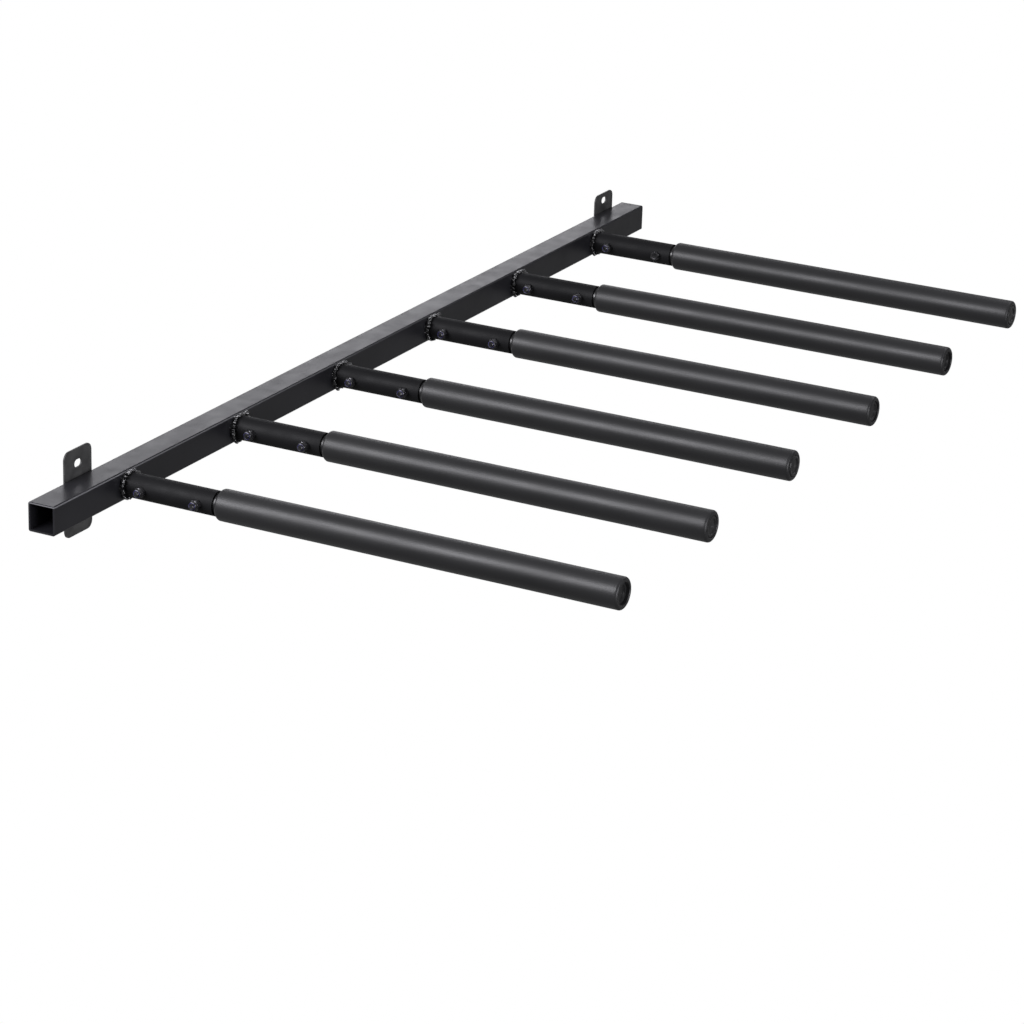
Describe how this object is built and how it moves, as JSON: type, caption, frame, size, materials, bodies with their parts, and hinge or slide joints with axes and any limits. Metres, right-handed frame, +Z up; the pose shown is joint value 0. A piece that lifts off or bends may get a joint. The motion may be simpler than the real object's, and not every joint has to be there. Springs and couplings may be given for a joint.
{
  "type": "wall-mounted board storage rack",
  "caption": "Black steel rail on two wall plates with foam-covered tubular arms, bolted into welded sockets, that hold boards upright between them.",
  "frame": {"origin": "centre of the four screw slots on the wall plane, midway between the two wall plates", "axes": "+X along the rail, +Y into the wall, so the arms point along -Y, +Z up"},
  "size_m": [1.25, 0.5705, 0.088],
  "materials": {
    "rail_paint": "semi-gloss black powder coat",
    "plate_paint": "finely textured satin black powder coat",
    "socket_paint": "satin black powder coat",
    "weld_paint": "glossy black paint over a lumpy weld bead",
    "tube_paint": "satin black powder coat",
    "foam": "matt black closed-cell foam",
    "plug": "black moulded plastic",
    "fastener": "black zinc plate",
    "nylon": "dark violet-blue nylon"
  },
  "bodies": {
    "root": {"rail": "rail_paint", "left_wall_plate": "plate_paint", "left_plate_welds": "weld_paint", "right_wall_plate": "plate_paint", "right_plate_welds": "weld_paint", "arm_1_socket": "socket_paint", "arm_1_socket_weld": "weld_paint", "arm_1_tube": "tube_paint", "arm_1_foam_sleeve": "foam", "arm_1_end_plug": "plug", "arm_1_cross_bolts": "fastener", "arm_1_lock_nuts": "fastener", "arm_1_nut_inserts": "nylon", "arm_2_socket": "socket_paint", "arm_2_socket_weld": "weld_paint", "arm_2_tube": "tube_paint", "arm_2_foam_sleeve": "foam", "arm_2_end_plug": "plug", "arm_2_cross_bolts": "fastener", "arm_2_lock_nuts": "fastener", "arm_2_nut_inserts": "nylon", "arm_3_socket": "socket_paint", "arm_3_socket_weld": "weld_paint", "arm_3_tube": "tube_paint", "arm_3_foam_sleeve": "foam", "arm_3_end_plug": "plug", "arm_3_cross_bolts": "fastener", "arm_3_lock_nuts": "fastener", "arm_3_nut_inserts": "nylon", "arm_4_socket": "socket_paint", "arm_4_socket_weld": "weld_paint", "arm_4_tube": "tube_paint", "arm_4_foam_sleeve": "foam", "arm_4_end_plug": "plug", "arm_4_cross_bolts": "fastener", "arm_4_lock_nuts": "fastener", "arm_4_nut_inserts": "nylon", "arm_5_socket": "socket_paint", "arm_5_socket_weld": "weld_paint", "arm_5_tube": "tube_paint", "arm_5_foam_sleeve": "foam", "arm_5_end_plug": "plug", "arm_5_cross_bolts": "fastener", "arm_5_lock_nuts": "fastener", "arm_5_nut_inserts": "nylon", "arm_6_socket": "socket_paint", "arm_6_socket_weld": "weld_paint", "arm_6_tube": "tube_paint", "arm_6_foam_sleeve": "foam", "arm_6_end_plug": "plug", "arm_6_cross_bolts": "fastener", "arm_6_lock_nuts": "fastener", "arm_6_nut_inserts": "nylon"}
  },
  "joints": []
}
